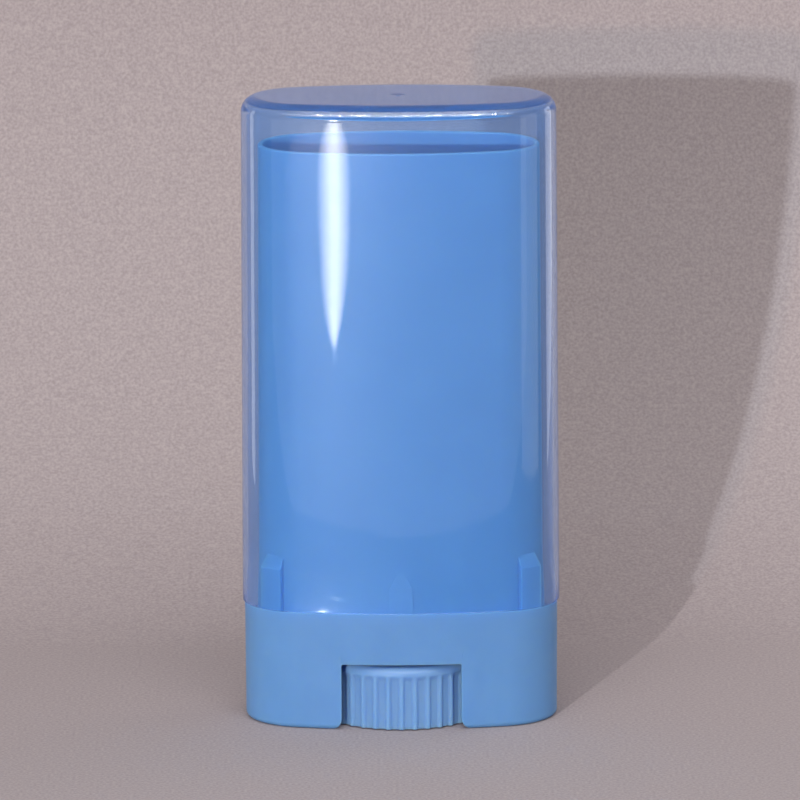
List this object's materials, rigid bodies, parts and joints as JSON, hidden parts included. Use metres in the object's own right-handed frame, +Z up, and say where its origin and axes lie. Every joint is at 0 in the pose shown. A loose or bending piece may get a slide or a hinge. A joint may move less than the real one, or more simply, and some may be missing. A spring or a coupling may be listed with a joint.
{
  "type": "stick dispenser",
  "caption": "Empty oval twist-up stick dispenser: clear push-on cap, tube with a hollow skirt, lifting platform, and a ribbed thumb dial on a coarse screw.",
  "frame": {"origin": "centre of the oval base, on the surface it stands on", "axes": "+Z up along the screw, X along the long side of the oval, -Y out of the front where the thumb turns the dial"},
  "size_m": [0.062, 0.0308, 0.1231],
  "materials": {
    "clear_cap": "polished, clear, tinted violet blue",
    "barrel_plastic": "satin moulded, light blue",
    "dial_plastic": "satin moulded, light blue",
    "platform_plastic": "satin moulded, light blue"
  },
  "bodies": {
    "barrel": {"barrel": "barrel_plastic"},
    "cap": {"cap": "clear_cap"},
    "dial": {"screw_dial": "dial_plastic"},
    "platform": {"platform": "platform_plastic"}
  },
  "joints": [
    {"name": "cap_lift", "type": "slide", "parent": "barrel", "child": "cap", "axis": [0, 0, 1], "range_m": [0, 0.1]},
    {"name": "dial_turn", "type": "hinge", "parent": "barrel", "child": "dial", "pos_m": [0, 0, 0.015], "axis": [0, 0, -1], "range_deg": [0, 6840]},
    {"name": "platform_rise", "type": "slide", "parent": "barrel", "child": "platform", "axis": [0, 0, 1], "range_m": [0, 0.0855]}
  ],
  "couplings": [
    {"joint": "platform_rise", "follows": "dial_turn", "m_per_rad": 0.0007162}
  ]
}
